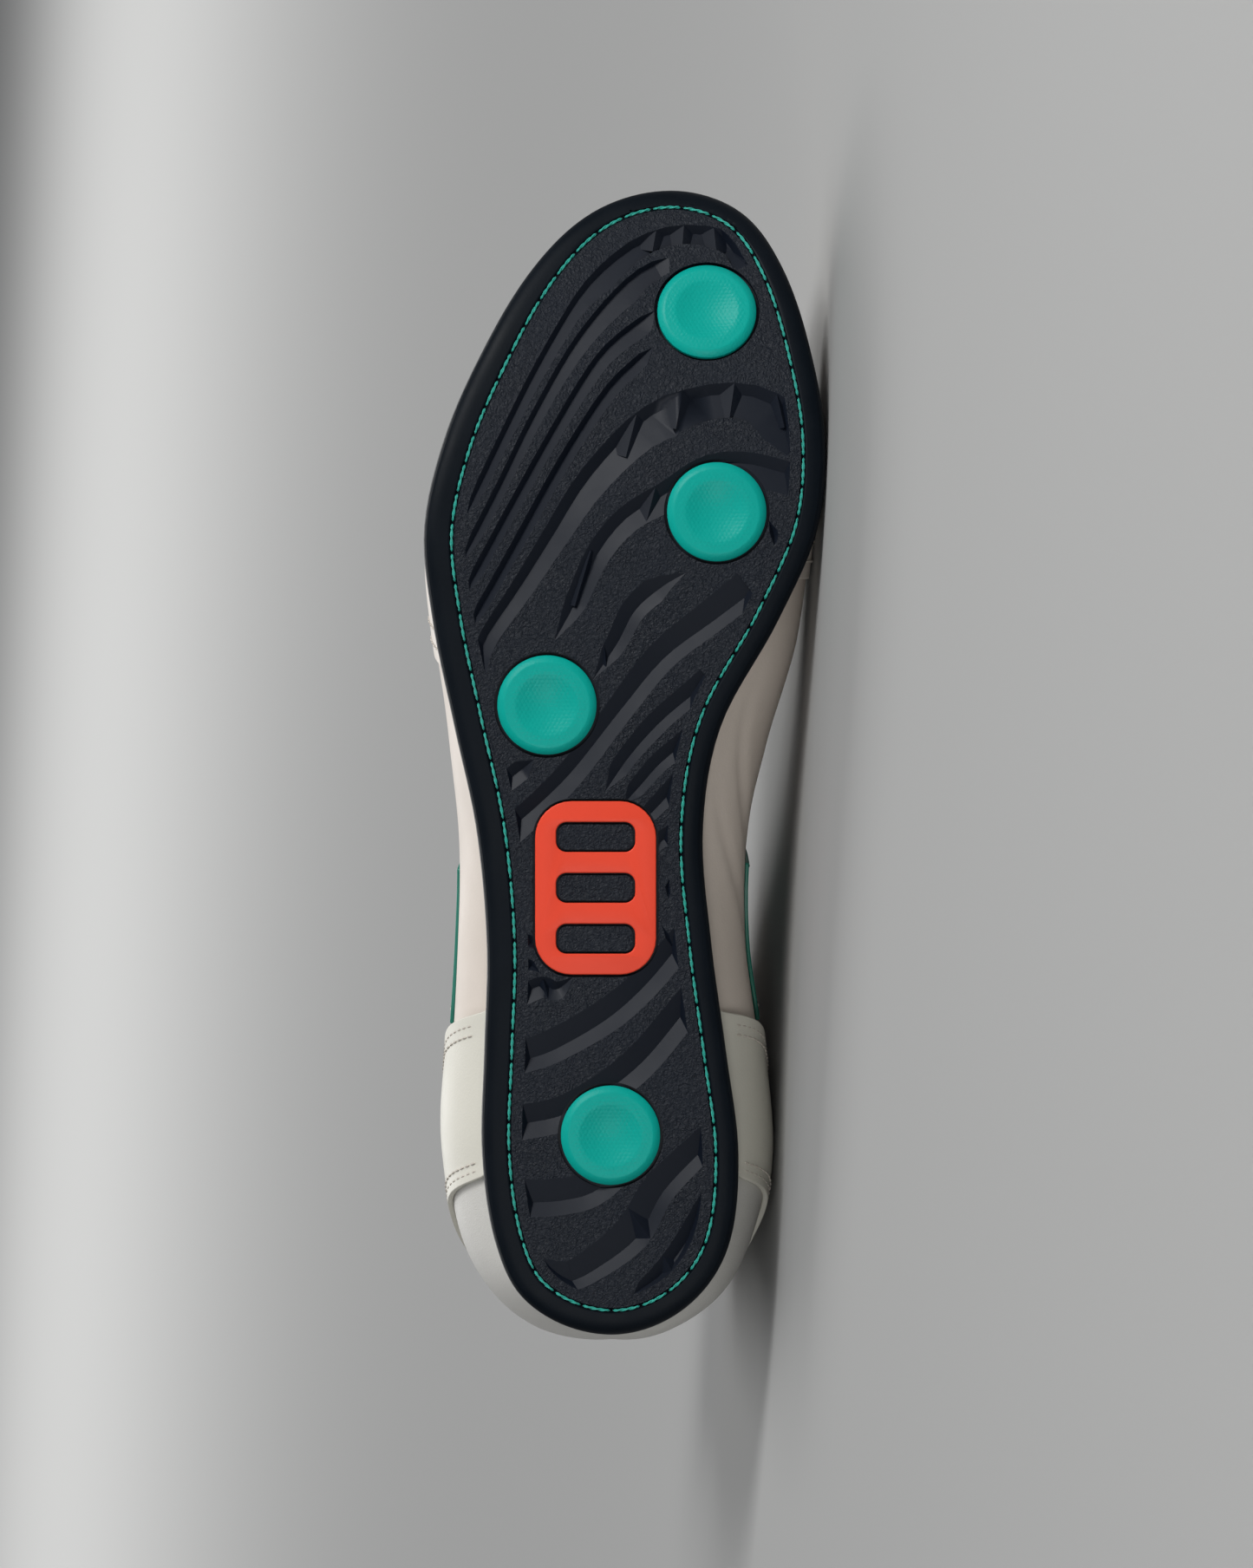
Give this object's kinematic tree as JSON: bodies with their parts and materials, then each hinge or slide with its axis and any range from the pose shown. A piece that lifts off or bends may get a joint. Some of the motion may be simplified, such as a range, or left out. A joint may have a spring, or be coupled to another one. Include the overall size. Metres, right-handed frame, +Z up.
{
  "type": "wrestling shoe",
  "caption": "Right high-top wrestling shoe lying on its inner side: wave-tread rubber sole with grip discs, hollow lace-up upper, heel strap and padded collar.",
  "frame": {"origin": "on the floor, under the middle of the lying shoe's bounding box", "axes": "+X towards the toe, -Y out of the sole, +Z up, which is the shoe's outer side as it lies on its inner side"},
  "size_m": [0.2874, 0.147, 0.0987],
  "materials": {
    "sole_rubber": "matt navy-black moulded rubber",
    "teal_rubber": "satin teal moulded rubber",
    "orange_rubber": "matt orange moulded rubber",
    "insole_foam": "dark textile-faced foam",
    "cream_leather": "cream leather, soft sheen",
    "strap_leather": "off-white leather, soft sheen",
    "green_synthetic": "green synthetic leather",
    "lining": "padded woven textile",
    "lace_cord": "flat woven lace"
  },
  "bodies": {
    "root": {"outsole": "sole_rubber", "grip_disc_toe": "teal_rubber", "grip_disc_ball": "teal_rubber", "grip_disc_outer": "teal_rubber", "grip_disc_heel": "teal_rubber", "arch_badge": "orange_rubber", "insole": "insole_foam", "upper": "cream_leather", "heel_strap": "strap_leather", "side_panel_outer": "green_synthetic", "side_panel_inner": "green_synthetic", "eyestay": "strap_leather", "tongue": "lining", "laces": "lace_cord"}
  },
  "joints": []
}
